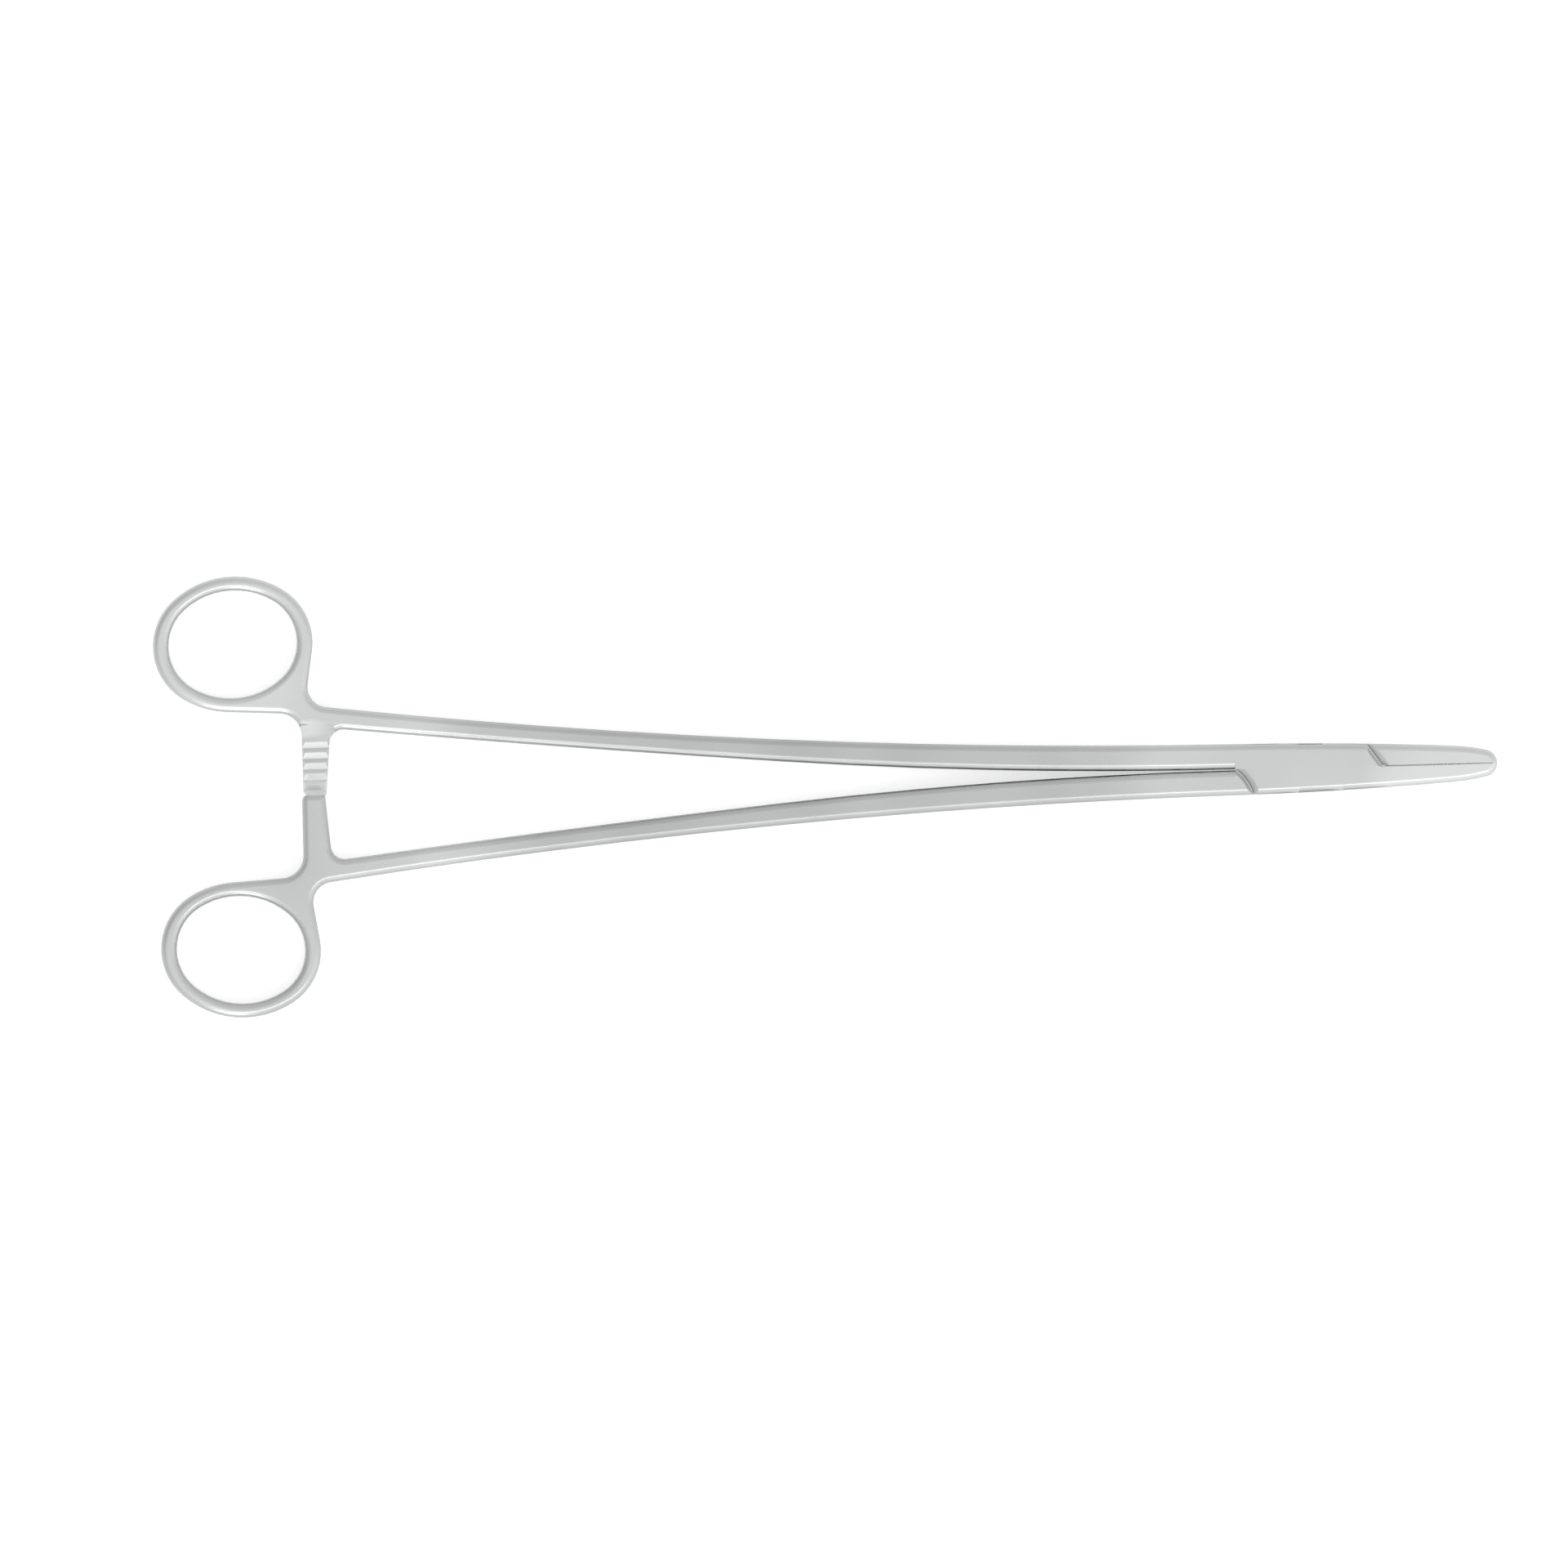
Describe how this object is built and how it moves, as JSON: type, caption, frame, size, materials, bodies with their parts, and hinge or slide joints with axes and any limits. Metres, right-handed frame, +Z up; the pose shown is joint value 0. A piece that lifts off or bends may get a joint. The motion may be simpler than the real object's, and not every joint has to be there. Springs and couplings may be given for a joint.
{
  "type": "ring-handled forceps",
  "caption": "Long box-lock forceps with oval finger rings, a toothed catch between bowed shanks and short serrated jaws, closed and lying flat.",
  "frame": {"origin": "on the pivot pin's axis, in the plane of the lock's underside, which is the plane the instrument lies on", "axes": "+X from the pivot to the jaw tips, +Y towards the finger ring of the slotted half, +Z up out of the upper side of the lock"},
  "size_m": [0.2598, 0.0854, 0.0058],
  "materials": {
    "box_half_steel": "satin-polished stainless steel",
    "tongue_half_steel": "satin-polished stainless steel",
    "pin_steel": "stainless steel ground flush with the lock"
  },
  "bodies": {
    "box_half_body": {"box_half": "box_half_steel", "pivot_pin": "pin_steel"},
    "tongue_half_body": {"tongue_half": "tongue_half_steel"}
  },
  "joints": [
    {"name": "box_lock_hinge", "type": "hinge", "parent": "box_half_body", "child": "tongue_half_body", "pos_m": [0, 0, 0], "axis": [0, 0, 1], "range_deg": [0, 54]}
  ]
}
